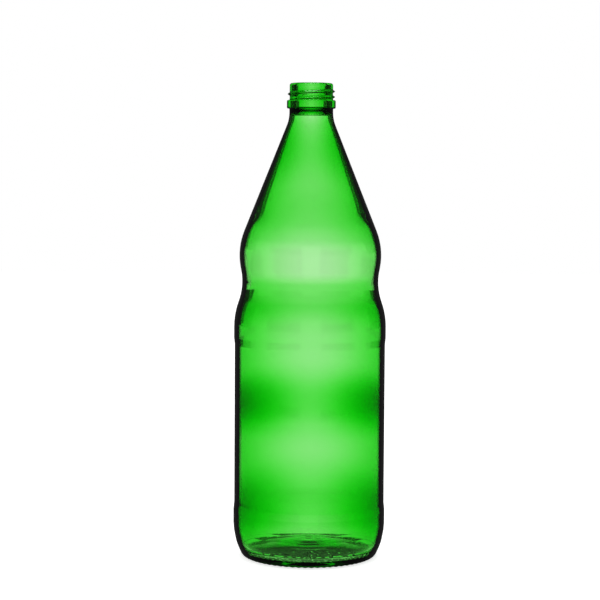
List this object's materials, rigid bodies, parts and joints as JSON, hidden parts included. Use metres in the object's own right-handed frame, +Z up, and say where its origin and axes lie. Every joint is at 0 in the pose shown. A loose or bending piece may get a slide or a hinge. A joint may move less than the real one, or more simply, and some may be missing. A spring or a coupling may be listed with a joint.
{
  "type": "oil bottle",
  "caption": "Empty green glass oil bottle with a long cone, a belly and waist, a recessed label panel and a screw finish.",
  "frame": {"origin": "on the bottle's axis, in the plane of the bearing ring that it stands on", "axes": "+Z up along the axis, from the foot to the mouth; the bottle is round, so X and Y are free"},
  "size_m": [0.088, 0.088, 0.274],
  "materials": {
    "green_glass": "gloss"
  },
  "bodies": {
    "root": {"bottle": "green_glass"}
  },
  "joints": []
}
